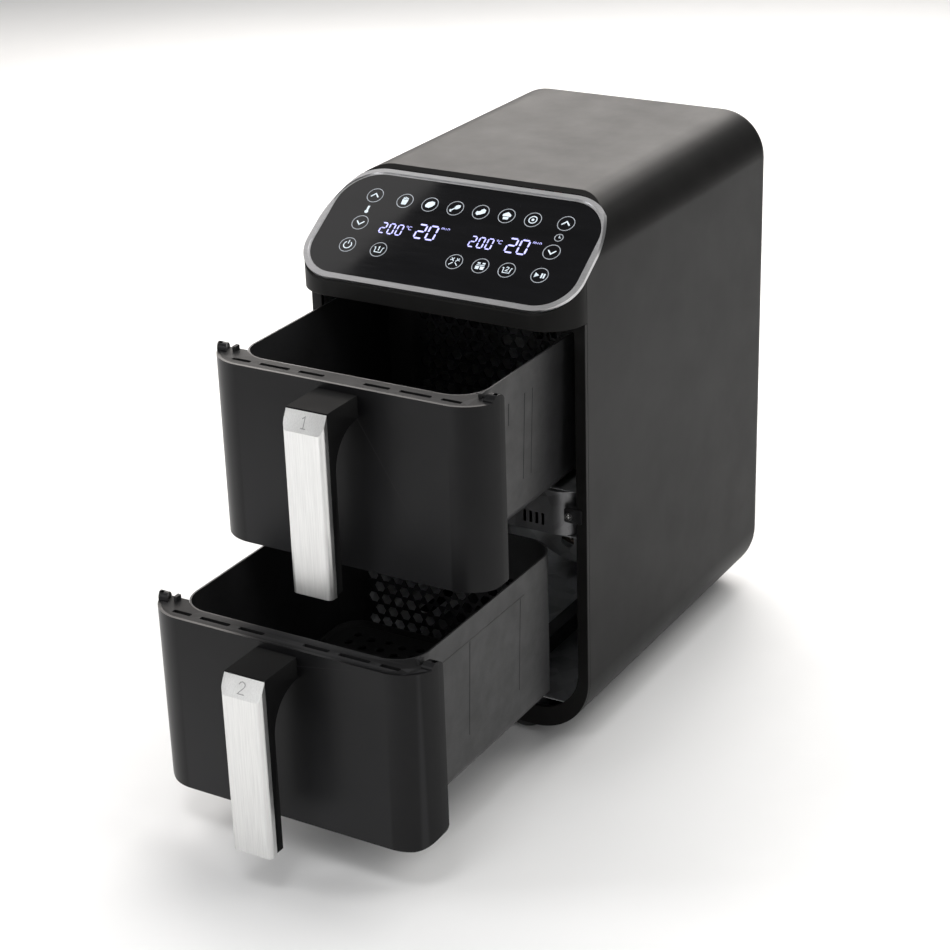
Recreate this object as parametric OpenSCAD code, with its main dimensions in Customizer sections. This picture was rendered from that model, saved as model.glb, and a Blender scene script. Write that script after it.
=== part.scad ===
// Upright air fryer with two stacked drawers, shown with both drawers pulled open.
// The origin is on the worktop, midway across the housing. +Z is up, -Y is the front, +X is the
// right-hand side seen from the front. All sizes are in millimetres.

/* [Housing] */
// Width of the housing
body_w = 226; // [222:1:232]
// Height of the top of the housing above the worktop
body_h = 408; // [406:1:412]
// Distance from the origin back to the rear wall
body_back = 163; // [160:1:170]
// Height of the rubber feet
foot_h = 7; // [6:0.5:8]
// Wall thickness of the outer shell
wall = 2.5; // [2:0.1:3]
// Radius of the two long upper edges
corner_top = 36; // [34:1:40]
// Radius of the two long lower edges
corner_bottom = 46; // [44:1:48]
// Radius of the edge around the rear wall
corner_rear = 14; // [12:1:16]

/* [Front frame] */
// Distance from the origin forward to the frame's front face
frame_front = 150; // [149:1:151]
// Thickness of the frame
frame_t = 3.6; // [3:0.1:4]
// Width of the opening for the drawers
opening_w = 209; // [208:0.5:210]
// Height of the lower edge of the opening
opening_low = 23.5; // [23:0.5:25]
// Corner radius at the foot of the opening
opening_r = 36; // [34:1:38]

/* [Console] */
// Distance from the origin forward to the console's skirt
console_front = 177; // [176:0.5:178]
// Height of the skirt's lower edge
skirt_low = 334; // [333:0.5:335]
// Height at which the sloping face starts
slope_low = 348.7; // [348:0.1:350]
// Distance from the origin forward to the upper end of the sloping face
slope_top_front = 90.6; // [89:0.1:92]
// Height of the upper end of the sloping face
slope_high = 405; // [404.5:0.1:405.5]
// Corner radius of the console and of the drawer fronts, seen from above
front_r = 30; // [28:1:32]
// Width of the trim ring around the glass
ring_w = 5; // [4.5:0.1:5.5]
// Thickness of the trim ring
ring_t = 2.6; // [2.2:0.1:2.8]

/* [Drawers] */
// Height of a drawer front
panel_h = 134; // [133:0.5:135]
// Depth of a drawer front from its face to its rear edge
panel_depth = 26.6; // [26:0.1:26.8]
// Wall thickness of a drawer front
panel_wall = 2.4; // [2.2:0.1:2.6]
// Height of the upper drawer front's lower edge
upper_low = 186.2; // [186:0.1:187]
// Height of the lower drawer front's lower edge
lower_low = 32.6; // [32:0.1:33.5]
// How far the upper drawer is pulled out
upper_out = 111.5; // [0:0.5:150]
// How far the lower drawer is pulled out
lower_out = 199; // [0:0.5:200]
// Width of a basket at its rim
basket_w = 190; // [188:1:192]
// Width of a basket at its floor
basket_floor_w = 182; // [180:1:184]
// Length of a basket
basket_len = 202; // [200:1:203]
// Wall thickness of a basket
basket_wall = 1.2; // [1:0.1:1.4]

/* [Handles] */
// Width of a handle
handle_w = 32; // [31:0.5:33]
// Distance from a drawer front out to the handle's face
handle_out = 43.5; // [42:0.5:45]
// Depth of the grip
grip_depth = 14; // [13:0.5:15]
// Height of the sloping face's upper edge above the drawer front's lower edge
handle_high = 130; // [129:0.5:131]
// Height of the crease below the sloping face
handle_crease = 115; // [113:0.5:116]

/* [Fans] */
// Radius of a hot-air fan
fan_r = 44; // [42:1:46]
// Radius of a motor shaft
shaft_r = 2.5; // [2.4:0.05:2.6]
// Running clearance between a shaft and its bore
shaft_gap = 0.05; // [0.03:0.01:0.08]
// Height of the upper fan's axis
upper_fan_z = 267; // [266.5:0.5:267.5]
// Height of the lower fan's axis
lower_fan_z = 100; // [98:1:104]

/* [Hidden] */
$fn = 64;
hw = body_w / 2;
slope_angle = atan2(slope_high - slope_low, console_front - slope_top_front);
slope_len = norm([slope_high - slope_low, console_front - slope_top_front]);
wrap_front = -frame_front + frame_t;
rear_wall = 6;

liner_half = opening_w / 2 + 0.7;
liner_t = 0.8;
liner_back = 82;
upper_floor = 203.7;
upper_ceiling = 330.5;
lower_floor = 30.2;
lower_ceiling = 168;

upper_face = -console_front - upper_out;
lower_face = -console_front - lower_out;
basket_start = 16.4;
upper_basket_low = 21.5;
lower_basket_low = 13;
plate_lift = 16;
basket_r = 24;
basket_bottom_r = 9;

guard_y = 50;
fan_y = 57;
fan_depth = 13;
heater_y = 64;
heater_r = 51;
lead_x = 30;
lead_z = sqrt(heater_r * heater_r - lead_x * lead_x);
bracket_y = 94;
motor_y = bracket_y + 1.6;
motor_len = 34;
cooler_y = motor_y + motor_len + 4;
shaft_end = cooler_y + 10;

board_n = -9.6;
key_row_x = [52.7, 31.6, 10.5];
// Rear cover
cover_half = 96;
cover_low = 34;
cover_high = 376;
cover_t = 2.6;
gland_x = -75;
gland_z = 60;

// ---------- helpers ----------

// Rectangle with rounded corners, from (x0, y0) to (x1, y1)
module rounded(x0, y0, x1, y1, r) {
    translate([x0 + r, y0]) square([x1 - x0 - 2 * r, y1 - y0]);
    translate([x0, y0 + r]) square([x1 - x0, y1 - y0 - 2 * r]);
    for (x = [x0 + r, x1 - r], y = [y0 + r, y1 - r]) translate([x, y]) circle(r);
}

// Rectangle across X whose two upper and two lower corners have their own radii
module two_radius(half, low, high, r_top, r_low) {
    translate([-half, low + r_low]) square([2 * half, high - low - r_top - r_low]);
    translate([-half + r_top, high - r_top - 1]) square([2 * (half - r_top), r_top + 1]);
    translate([-half + r_low, low]) square([2 * (half - r_low), r_low + 1]);
    for (s = [-1, 1]) {
        translate([s * (half - r_top), high - r_top]) circle(r_top);
        translate([s * (half - r_low), low + r_low]) circle(r_low);
    }
}

// Extrudes an X-Z outline from y0 to y1
module along_y(y0, y1) {
    translate([0, y1, 0]) rotate([90, 0, 0]) linear_extrude(y1 - y0) children();
}

// Extrudes a Y-Z outline across X, centred
module along_x(width) {
    translate([-width / 2, 0, 0]) rotate([90, 0, 90]) linear_extrude(width) children();
}

// Extrudes an X-Y outline from z0 to z1
module along_z(z0, z1) {
    translate([0, 0, z0]) linear_extrude(z1 - z0) children();
}

// Cylinder along Y
module rod_y(r, y0, y1, x = 0, z = 0) {
    translate([x, y1, z]) rotate([90, 0, 0]) cylinder(r = r, h = y1 - y0);
}

// Places a child in the sloping face's own frame: X across, Y up the slope, Z out of it
module on_slope() {
    translate([0, -console_front, slope_low]) rotate([slope_angle, 0, 0]) children();
}

// Everything above the sloping face, less a depth measured square to it
module above_slope(depth) {
    on_slope() translate([-body_w, -body_h / 2, -depth]) cube([2 * body_w, body_h, body_h / 2]);
}

// ---------- housing ----------

// Outline of the housing seen from the front
module section(inset) {
    two_radius(hw - inset, foot_h + inset, body_h - inset, corner_top - inset, corner_bottom - inset);
}

// Radial profile of the rounded rear edge
module edge_profile(r, depth, q) {
    difference() {
        square([r, depth]);
        translate([r - q, depth - q]) difference() {
            square([q + 1, q + 1]);
            circle(q);
        }
    }
}

// Quarter turn of the edge profile about a corner of the section
module edge_corner(x, z, r, q, y0, y1, turn) {
    translate([x, y0, z]) rotate([-90, 0, 0]) rotate([0, 0, turn])
        rotate_extrude(angle = 90) edge_profile(r, y1 - y0, q);
}

// The housing's solid outline, rounded at its rear end
module housing_block(inset, y0, y1) {
    half = hw - inset;
    low = foot_h + inset;
    high = body_h - inset;
    top_r = corner_top - inset;
    low_r = corner_bottom - inset;
    q = corner_rear - inset;
    along_y(y0, y1 - q) section(inset);
    along_y(y1 - q - 1, y1) section(inset + q);
    edge_corner(half - top_r, high - top_r, top_r, q, y0, y1, -90);
    edge_corner(-half + top_r, high - top_r, top_r, q, y0, y1, 180);
    edge_corner(half - low_r, low + low_r, low_r, q, y0, y1, 0);
    edge_corner(-half + low_r, low + low_r, low_r, q, y0, y1, 90);
    for (s = [0, 1]) mirror([s, 0, 0]) translate([half - top_r, y0, low + low_r])
        linear_extrude(high - low - top_r - low_r) edge_profile(top_r, y1 - y0, q);
    translate([-half + top_r, y0, high - top_r]) rotate([0, -90, 0]) mirror([0, 0, 1])
        linear_extrude(2 * (half - top_r)) edge_profile(top_r, y1 - y0, q);
    translate([-half + low_r, y0, low + low_r]) rotate([0, 90, 0])
        linear_extrude(2 * (half - low_r)) edge_profile(low_r, y1 - y0, q);
}

cover_screws = [for (x = [-90, 90], z = [60, 205, 350]) [x, z]];

module housing_wrap() {
    color("#202022") difference() {
        housing_block(0, wrap_front, body_back);
        housing_block(wall, wrap_front - 1, body_back - rear_wall);
        above_slope(0);
        on_slope() along_z(-ring_t - 0.1, 1) ring_outline(-0.2);
        along_y(body_back - cover_t, body_back + 1)
            rounded(-cover_half, cover_low, cover_half, cover_high, 12);
        along_y(body_back - rear_wall - 1, body_back)
            rounded(-cover_half + 12, cover_low + 12, cover_half - 12, cover_high - 12, 6);
        for (p = cover_screws) rod_y(1.3, body_back - rear_wall - 1, body_back, p[0], p[1]);
        for (p = foot_places) translate([p[0], p[1], foot_h - 1]) cylinder(r = 3, h = wall + 2);
    }
}

module front_frame() {
    top = skirt_low - 0.1;
    color("#1a1a1b") difference() {
        along_y(-frame_front, wrap_front - 0.1) intersection() {
            section(0);
            translate([-hw, 0]) square([body_w, top]);
        }
        along_y(-frame_front - 1, wrap_front + 1)
            two_radius(opening_w / 2, opening_low, top - 4, 6, opening_r);
    }
}

// ---------- console ----------

// Outline of the console and of the drawer fronts seen from above
module front_plan(inset, front, back) {
    intersection() {
        rounded(-hw + inset, front + inset, hw - inset, back + 2 * front_r, front_r - inset);
        translate([-body_w, front]) square([2 * body_w, back - front]);
    }
}

module console_cowl() {
    color("#141415") difference() {
        along_z(skirt_low, slope_low + 30) front_plan(0, -console_front, wrap_front - 0.1);
        along_z(skirt_low + wall, slope_low + 31) front_plan(wall, -console_front, wrap_front + 5);
        above_slope(ring_t + 0.1);
    }
}

// Outline of the trim ring in the sloping face
module ring_outline(inset) {
    two_radius(hw - inset, inset, slope_len - inset, 36 - inset, 32 - inset);
}

// Keeps the ring's upper corners inside the rounded edges of the housing
module ring_limit(inset) {
    along_y(-console_front - 5, 0) section(inset - 0.3);
}

module trim_ring() {
    color("#c9ccd0") difference() {
        intersection() {
            on_slope() along_z(-ring_t, 0) ring_outline(0);
            ring_limit(0);
        }
        on_slope() along_z(-ring_t - 1, 1) ring_outline(ring_w);
        on_slope() along_z(-0.8, 1) ring_outline(ring_w - 1.6);
    }
}

module glass_panel() {
    color("#08080a") on_slope() along_z(-ring_t, -0.9) ring_outline(ring_w + 0.15);
}

module glass_carrier() {
    color("#26262a") intersection() {
        on_slope() difference() {
            along_z(-ring_t - 3.6, -ring_t - 0.15) ring_outline(3.4);
            along_z(-ring_t - 5, 0) ring_outline(14);
            translate([-12, 0, -ring_t - 5]) cube([24, 15, 6]);
        }
        ring_limit(4);
    }
}

module control_board() {
    color("#1d4d2b") on_slope() difference() {
        along_z(board_n, board_n + 1.6) rounded(-94, 16, 94, 92, 4);
        for (x = [-90, 90], y = [20, 88]) translate([x, y, board_n - 1]) cylinder(r = 1.6, h = 4);
    }
}

module display_modules() {
    color("#3a3a40") on_slope() for (x = [-35, 38])
        translate([x - 30, 44, board_n + 1.6]) cube([60, 18, 4.6]);
}

// Places of the touch keys: across, and up the slope
key_places = concat(
    [for (s = [-1, 1], y = [78, 52]) [s * 78.6, y]],
    [for (s = [-1, 1]) [s * 79.2, 31]],
    [for (s = [-1, 1], x = key_row_x) [s * x, 77]],
    [for (x = [-52, 10.5, 31.6, 52.7]) [x, 31]]
);

module touch_springs() {
    color("#b8b8bc") on_slope() for (p = key_places)
        translate([p[0], p[1], board_n + 1.6]) difference() {
            cylinder(r = 4.5, h = 5.3);
            translate([0, 0, -1]) cylinder(r = 3.6, h = 5.6);
        }
}

// ---------- middle of the front ----------

partition_low = 169.2;
partition_high = 203.2;
lug_screw_x = 100;
lug_z = 187.5;

module mid_partition() {
    half = liner_half - 0.3;
    front = -frame_front + 0.6;
    color("#8f9194") difference() {
        union() {
            along_z(partition_low, partition_high) difference() {
                rounded(-half, front, half, liner_back, 20);
                rounded(-half + 1.2, front + 1.2, half - 1.2, liner_back - 1.2, 18.8);
            }
            for (z = [partition_low, partition_high - 1]) along_z(z, z + 1)
                rounded(-half + 0.6, front + 0.6, half - 0.6, liner_back - 0.6, 19.4);
            for (s = [-1, 1]) rod_y(4, -frame_front, front + 16, s * lug_screw_x, lug_z);
        }
        for (s = [-1, 1]) rod_y(1.55, -frame_front - 1, front + 17, s * lug_screw_x, lug_z);
        for (s = [-1, 1], i = [0 : 3]) translate([s * (62 + 5 * i) - 1.3, front - 1, 175])
            cube([2.6, 4, 9]);
    }
}

module partition_brackets() {
    color("#2b2b2d") for (s = [-1, 1]) difference() {
        along_y(-frame_front - 1.5, -frame_front - 0.1)
            rounded(s * 102.5 - 7, lug_z - 5.5, s * 102.5 + 7, lug_z + 5.5, 1.5);
        rod_y(1.7, -frame_front - 2, -frame_front + 1, s * lug_screw_x, lug_z);
    }
}

// Pan-head screw along Y with its head towards -Y, the head's seat at y
module screw_y(x, y, z, r, length, head_r, head_t) {
    rod_y(r, y - 0.2, y + length, x, z);
    difference() {
        rod_y(head_r, y - head_t, y, x, z);
        for (a = [0, 90]) translate([x, y - head_t, z]) rotate([0, a, 0])
            translate([-head_r * 0.6, -0.5, -0.35]) cube([head_r * 1.2, 1.2, 0.7]);
    }
}

module bracket_screws() {
    color("#d8d8d8") for (s = [-1, 1])
        screw_y(s * lug_screw_x, -frame_front - 1.55, lug_z, 1.5, 12, 3.1, 1.9);
}

// ---------- cooking chambers ----------

// Sheet-metal box open at the front
module liner(low, high, fan_z, slots) {
    front = wrap_front + 0.1;
    color("#b4b7ba") difference() {
        along_y(front, liner_back + liner_t)
            rounded(-liner_half - liner_t, low, liner_half + liner_t, high, 5);
        along_y(front - 1, liner_back)
            rounded(-liner_half, low + liner_t, liner_half, high - liner_t, 4.2);
        rod_y(9, liner_back - 1, liner_back + 2, 0, fan_z);
        for (s = [-1, 1]) rod_y(2.7, liner_back - 1, liner_back + 2, s * lead_x, fan_z + lead_z);
        if (slots) for (s = [-1, 1]) translate([s * 78 - 6, -70, low - 1]) cube([12, 90, 3]);
    }
}

module upper_liner() liner(upper_floor, upper_ceiling, upper_fan_z, false);
module lower_liner() liner(lower_floor, lower_ceiling + liner_t, lower_fan_z, true);

// Pair of strips that the basket slides on
module runners(low, high, x) {
    front = -142;
    back = 46;
    ramp = 2;
    color("#18181a") for (s = [-1, 1]) translate([s * x, 0, 0]) along_x(12)
        polygon([[front, low], [front, high - ramp], [front + 3 * ramp, high], [back, high], [back, low]]);
}

module upper_runners() runners(upper_floor + liner_t, upper_low + upper_basket_low - 0.3, 40);
module lower_runners() runners(lower_floor + liner_t, lower_low + lower_basket_low - 0.3, 40);

guard_r = 61;

// Perforated disc on four legs in front of the fan and the heater
module fan_guard(z) {
    color("#9a9c9f") translate([0, 0, z]) {
        difference() {
            rod_y(guard_r, guard_y, guard_y + 1);
            rod_y(5, guard_y - 1, guard_y + 2);
            for (ring = [14, 24, 34, 44], i = [0 : 11]) rotate([0, i * 30 + ring, 0])
                rod_y(ring * 0.11 + 1.2, guard_y - 1, guard_y + 2, ring, 0);
        }
        for (a = [45 : 90 : 315]) rotate([0, a, 0]) rod_y(2.8, guard_y + 0.5, liner_back, guard_r - 3, 0);
    }
}

// Ring-shaped heating element with two ends through the rear wall
module heater(z) {
    color("#6b5b50") translate([0, 0, z]) {
        translate([0, heater_y, 0]) rotate([90, 0, 0]) rotate_extrude() translate([heater_r, 0]) circle(3);
        for (s = [-1, 1]) rod_y(2.5, heater_y, liner_back + 12, s * lead_x, lead_z);
    }
}

// Blades around a hub, turning about Y
module blades(r, hub_r, y0, depth, count, pitch) {
    difference() {
        union() {
            rod_y(hub_r, y0, y0 + depth);
            rod_y(r, y0 + depth - 1.2, y0 + depth);
            for (i = [0 : count - 1]) rotate([0, i * 360 / count + 5, 0])
                translate([hub_r - 1, y0 + depth / 2, 0]) rotate([0, pitch, 0])
                    translate([0, -depth / 2 + 0.5, -0.5]) cube([r - hub_r - 3, depth - 1.1, 1]);
        }
        rod_y(shaft_r, y0 - 1, y0 + depth + 1);
    }
}

module hot_fan(z) {
    color("#a8abae") translate([0, 0, z]) blades(fan_r, 8, fan_y, fan_depth, 12, 12);
}

module cooling_fan(z) {
    color("#3c3f45") translate([0, 0, z]) blades(34, 7, cooler_y, 8, 9, 15);
}

module fan_shaft(z) {
    color("#d0d0d0") rod_y(shaft_r, fan_y - 3, shaft_end, 0, z);
}

// Plate on four posts that carries the motor behind the chamber
module motor_bracket(z) {
    color("#9a9c9f") translate([0, 0, z]) difference() {
        union() {
            along_y(bracket_y, bracket_y + 1.6) rounded(-45, -26, 45, 26, 6);
            for (x = [-39, 39], dz = [-20, 20]) rod_y(3.5, liner_back + liner_t, bracket_y, x, dz);
        }
        rod_y(8, bracket_y - 1, bracket_y + 3);
    }
}

// Round motor with a bore for its shaft
module motor(z) {
    color("#55585e") translate([0, 0, z]) difference() {
        union() {
            rod_y(28, motor_y, motor_y + motor_len - 6);
            rod_y(22, motor_y + motor_len - 6, motor_y + motor_len - 2);
            rod_y(9, motor_y + motor_len - 2, motor_y + motor_len);
            for (s = [-1, 1]) along_y(motor_y, motor_y + 2)
                rounded(s * 33 - 7, -6, s * 33 + 7, 6, 3);
        }
        rod_y(shaft_r + shaft_gap, motor_y - 1, motor_y + motor_len + 1);
    }
}

module temperature_sensors() {
    color("#c8c8c8") for (z = [upper_fan_z, lower_fan_z])
        translate([62, 0, z + 46]) {
            rod_y(2, liner_back - 14, liner_back - 3);
            rod_y(4, liner_back - 3, liner_back - 0.1);
        }
}

module thermal_cutouts() {
    color("#efe9dc") for (z = [upper_fan_z, lower_fan_z]) translate([-62, 0, z + 46]) {
        rod_y(8, liner_back + liner_t + 0.1, liner_back + 10);
        for (dx = [-4, 4]) translate([dx - 1.5, liner_back + 10, -0.4]) cube([3, 7, 0.8]);
    }
}

// ---------- electrics ----------

module power_board() {
    y = 104;
    color("#7a5a2c") {
        translate([-62, y, 156]) cube([124, 1.6, 60]);
        for (x = [-50, -28]) translate([x, y + 1.6, 162]) cube([16, 15, 20]);
        translate([6, y + 1.6, 164]) cube([30, 22, 26]);
        for (x = [-46, -30, -14, 46]) rod_y(6, y + 1.6, y + 20, x, 202);
        translate([6, y + 1.6, 196]) cube([26, 10, 12]);
    }
}

module drawer_sensors() {
    color("#26262a") for (z = [upper_low, lower_low])
        translate([liner_half + liner_t + 0.5, wrap_front + 1, z + 60]) cube([3, 12, 22]);
}

// Bundle of internal leads from the power board to the control board
module wiring_loom() {
    r = 3;
    x = -52;
    y = 118;
    z = 344;
    color("#7d2f2b") {
        translate([x, y, 214]) cylinder(r = r, h = z - 214);
        rod_y(r, 105.7, y, x, 214);
        for (p = [[y, 214], [y, z], [-118, z]]) translate([x, p[0], p[1]]) sphere(r);
        rod_y(r, -118, y, x, z);
        translate([x, -118, z]) cylinder(r = r, h = 29);
    }
}

// ---------- base and rear ----------

foot_places = [for (x = [-54, 54], y = [-134, 132]) [x, y]];
base_z = foot_h + wall + 0.1;

module base_plate() {
    color("#a5a8ab") difference() {
        union() {
            along_z(base_z, base_z + 1.5) rounded(-66, -143, 66, 141, 6);
            for (x = [-50, 50], y = [-110, 0, 70]) translate([x, y, base_z])
                cylinder(r = 5, h = lower_floor - base_z);
        }
        for (p = foot_places) translate([p[0], p[1], base_z - 1]) cylinder(r = 2.1, h = 5);
    }
}

module feet() {
    color("#101011") for (p = foot_places) translate([p[0], p[1], 0]) difference() {
        union() {
            rotate_extrude() polygon([[0, 0], [10.5, 0], [12, 1.5], [12, foot_h], [0, foot_h]]);
            cylinder(r = 2.9, h = foot_h + wall);
        }
        translate([0, 0, -1]) cylinder(r = 1.9, h = foot_h + wall + 3);
        translate([0, 0, -1]) cylinder(r = 5, h = 3.6);
    }
}

module foot_screws() {
    color("#c4c4c4") for (p = foot_places) translate([p[0], p[1], 0]) {
        translate([0, 0, 2.5]) cylinder(r = 1.8, h = base_z + 3 - 2.5);
        difference() {
            translate([0, 0, 1]) cylinder(r = 3.8, h = 1.5);
            translate([-2.6, -0.4, 0.5]) cube([5.2, 0.8, 1.1]);
        }
    }
}

module rear_cover() {
    y0 = body_back - cover_t + 0.1;
    color("#1e1e20") difference() {
        along_y(y0, body_back)
            rounded(-cover_half + 0.3, cover_low + 0.3, cover_half - 0.3, cover_high - 0.3, 11.7);
        for (z0 = [lower_fan_z, upper_fan_z], i = [-4 : 4], s = [-1, 0, 1])
            along_y(y0 - 1, body_back + 1)
                rounded(s * 44 - 18, z0 + i * 9 - 2, s * 44 + 18, z0 + i * 9 + 2, 1.9);
        for (i = [0 : 4], s = [-1, 1])
            along_y(y0 - 1, body_back + 1)
                rounded(s * 30 - 18, 330 + i * 8 - 2, s * 30 + 18, 330 + i * 8 + 2, 1.9);
        for (p = cover_screws) {
            rod_y(1.6, y0 - 1, body_back + 1, p[0], p[1]);
            rod_y(3.4, body_back - 1.4, body_back + 1, p[0], p[1]);
        }
        rod_y(7, y0 - 1, body_back + 1, gland_x, gland_z);
    }
}

module rear_cover_screws() {
    color("#3a3a3c") for (p = cover_screws) mirror([0, 1, 0])
        screw_y(p[0], -body_back + 1.4, p[1], 1.25, 4.5, 3, 1.2);
}

// Bush in the rear cover where the mains lead enters
module cord_gland() {
    color("#0e0e0f") difference() {
        union() {
            rod_y(6.9, body_back - 10, body_back, gland_x, gland_z);
            rod_y(9.5, body_back, body_back + 3, gland_x, gland_z);
            rod_y(8.4, body_back - 10, body_back - cover_t, gland_x, gland_z);
        }
        rod_y(3.8, body_back - 11, body_back + 4, gland_x, gland_z);
    }
}

// ---------- drawers ----------
// A drawer is drawn with its face at y = 0 and its lower edge at z = 0.

module at_upper() translate([0, upper_face, upper_low]) children();
module at_lower() translate([0, lower_face, lower_low]) children();

ear_r = 4.8;
ear_w = 7;
magnet_x = 103;
magnet_z = 70;

// Raised ends of the drawer front's side walls
module drawer_ears() {
    intersection() {
        along_z(panel_h - 12, panel_h + ear_r) difference() {
            front_plan(0, 0, panel_depth);
            front_plan(ear_w, 0, panel_depth + 9);
        }
        along_x(body_w) {
            translate([panel_depth - ear_r, panel_h]) circle(ear_r);
            translate([panel_depth - 2 * ear_r, panel_h - 12]) square([2 * ear_r, 12]);
        }
    }
}

module drawer_front(low_r) {
    color("#232325") difference() {
        union() {
            intersection() {
                difference() {
                    along_z(0, panel_h) front_plan(0, 0, panel_depth);
                    along_z(-1, panel_h + 1) front_plan(panel_wall, 0, panel_depth + 9);
                }
                along_y(-1, panel_depth + 1) two_radius(hw, 0, panel_h, 1, low_r);
            }
            along_z(magnet_z - 5, magnet_z + 5) intersection() {
                translate([magnet_x - 5, 12]) square([12, panel_depth - 12]);
                front_plan(1, 0, panel_depth);
            }
            drawer_ears();
        }
        for (s = [-1, 1]) translate([s * (hw - 3.6) - 1.5, panel_depth - ear_r - 1.7, panel_h + 1])
            cube([3, 3.4, ear_r + 1]);
        rod_y(3.05, panel_depth - 3.2, panel_depth + 1, magnet_x, magnet_z);
        for (s = [-1, 1]) rod_y(1.7, -1, panel_wall + 1, s * 8, handle_high - 8);
    }
}

// Top plate between the drawer front and the basket, with slots and two end ears
module drawer_collar() {
    top = panel_h;
    color("#1b1b1c") difference() {
        union() {
            along_z(top - 3, top) difference() {
                union() {
                    front_plan(panel_wall + 0.1, 0, panel_depth - 2 * ear_r - 0.2);
                    front_plan(ear_w + 0.2, 0, panel_depth);
                }
                rounded(-basket_w / 2 - 0.1, basket_start - 0.1,
                        basket_w / 2 + 0.1, basket_start + 80, basket_r);
            }
            for (s = [-1, 1]) translate([s * 98 - 1.3, basket_start + 4, top - 3]) cube([2.6, 5, 6.5]);
        }
        for (s = [0, 1], x = [[16, 36], [44, 68], [76, 91]])
            mirror([s, 0, 0]) along_z(top - 4, top + 1) rounded(x[0], 7, x[1], 10.6, 0.8);
    }
}

// Lower corner of a section, rounded, from its side at x down to its floor at z
function floor_arc(x, z, r) = [for (a = [0 : 15 : 90]) [x + r - r * cos(a), z + r - r * sin(a)]];

// Half-outline mirrored about the middle line at x
function both_sides(points, x) = concat(points, [for (i = [len(points) - 1 : -1 : 0])
    [2 * x - points[i][0], points[i][1]]]);

// Tapered tub with rounded vertical corners and a rounded floor edge
module tub(low, high, inset) {
    r = basket_bottom_r - inset;
    front = basket_start + inset;
    mid = basket_start + basket_len / 2;
    rim = [-basket_w / 2 + inset + 0.02, high];
    intersection() {
        along_z(low - 1, high) rounded(-basket_w / 2 + inset, front, basket_w / 2 - inset,
            basket_start + basket_len - inset, basket_r - inset);
        along_y(basket_start - 1, basket_start + basket_len + 1)
            polygon(both_sides(concat([rim], floor_arc(-basket_floor_w / 2 + inset, low, r)), 0));
        along_x(basket_w + 2)
            polygon(both_sides(concat([[front - 0.12, high + 1]], floor_arc(front - 0.12, low, r)), mid));
    }
}

module basket(low) {
    pitch = 11;
    color("#1c1c1d") difference() {
        tub(low, panel_h, 0);
        tub(low + basket_wall, panel_h + 0.5, basket_wall);
        for (row = [0 : 6], i = [-6 : 6])
            translate([(i + (row % 2) / 2) * pitch, basket_start + basket_len - 5,
                       36 + row * pitch * 0.87 + low - 13])
                rotate([-90, 0, 0]) cylinder(r = 4.9, h = 10, $fn = 6);
    }
}

// Side profile of the black part of a handle
module core_profile(cut) {
    back = -handle_out + grip_depth;
    r = -back;
    difference() {
        union() {
            translate([back, handle_crease - r - 2]) square([r, handle_high - 1 - handle_crease + r + 2]);
            translate([-handle_out + 3, -2.2]) square([grip_depth - 3, handle_high + 1.2]);
        }
        translate([0, handle_crease - r - 2]) circle(r);
        translate([back, -4]) square([r + 1, handle_crease - r + 2]);
        slant_cut(cut);
    }
}

// Region above the sloping face at the top of a handle, lowered by depth
module slant_cut(depth) {
    run = 8;
    polygon([[-handle_out - 20, handle_crease - depth - 20 * (handle_high - handle_crease) / run],
        [-handle_out + run, handle_high - depth], [-handle_out + run, handle_high + 20],
        [-handle_out - 20, handle_high + 20]]);
}

module handle_core() {
    color("#17171a") difference() {
        union() {
            intersection() {
                along_x(handle_w) core_profile(0);
                translate([-handle_w / 2 - 1, -handle_out + 7.3, -5])
                    cube([handle_w + 2, handle_out - 7.4, handle_high + 6]);
            }
            intersection() {
                along_x(handle_w - 7.5) core_profile(2.8);
                translate([-handle_w / 2, -handle_out + 2, -5]) cube([handle_w, 6, handle_high + 6]);
            }
        }
        for (s = [-1, 1]) rod_y(1.55, -12, 1, s * 8, handle_high - 8);
    }
}

// Silver channel over the face of a handle, closed at both ends
module handle_cover() {
    half = handle_w / 2;
    color("#b9bbbe") difference() {
        along_z(-4, handle_high) rounded(-half, -handle_out, half, -handle_out + 14, 4);
        along_z(-5, handle_high + 1) translate([-half - 1, -handle_out + 7]) square([handle_w + 2, 10]);
        along_x(handle_w + 2) slant_cut(0);
        difference() {
            along_z(-2.6, handle_high)
                rounded(-half + 1.6, -handle_out + 2.7, half - 1.6, -handle_out + 20, 2.4);
            along_x(handle_w + 2) slant_cut(2.2);
        }
    }
}

module handle_screws() {
    color("#c4c4c4") for (s = [-1, 1]) mirror([0, 1, 0])
        screw_y(s * 8, -panel_wall, handle_high - 8, 1.5, 13, 3, 1.8);
}

module magnet() {
    color("#8d8d90") rod_y(3, panel_depth - 3.1, panel_depth - 0.1, magnet_x, magnet_z);
}

plate_r = 20;

module crisper_plate(low) {
    z = low + plate_lift;
    half = basket_floor_w / 2 - 3.2;
    front = basket_start + 4.5;
    back = basket_start + basket_len - 4.5;
    mid = (front + back) / 2;
    color("#2a2a2b") difference() {
        union() {
            along_z(z, z + 1.4) rounded(-half, front, half, back, plate_r);
            along_z(z, z + 6) difference() {
                rounded(-half, front, half, back, plate_r);
                rounded(-half + 1.4, front + 1.4, half - 1.4, back - 1.4, plate_r - 1.4);
            }
            for (s = [-1, 1]) translate([s * 10 - 1, mid - 5, z]) cube([2, 10, 14]);
            translate([-11, mid - 5, z + 12]) cube([22, 10, 2]);
        }
        for (i = [-5 : 5], k = [-6 : 6]) if (norm([i * 14, k * 13]) > 20)
            translate([i * 14, mid + k * 13 + (i % 2 == 0 ? 0 : 3), z - 1]) cylinder(r = 3.4, h = 4);
        for (x = [-half, half], y = [front + 40, back - 40])
            translate([x - 3, y - 5.1, z + 1.3]) cube([6, 10.2, 2.7]);
    }
}

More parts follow.
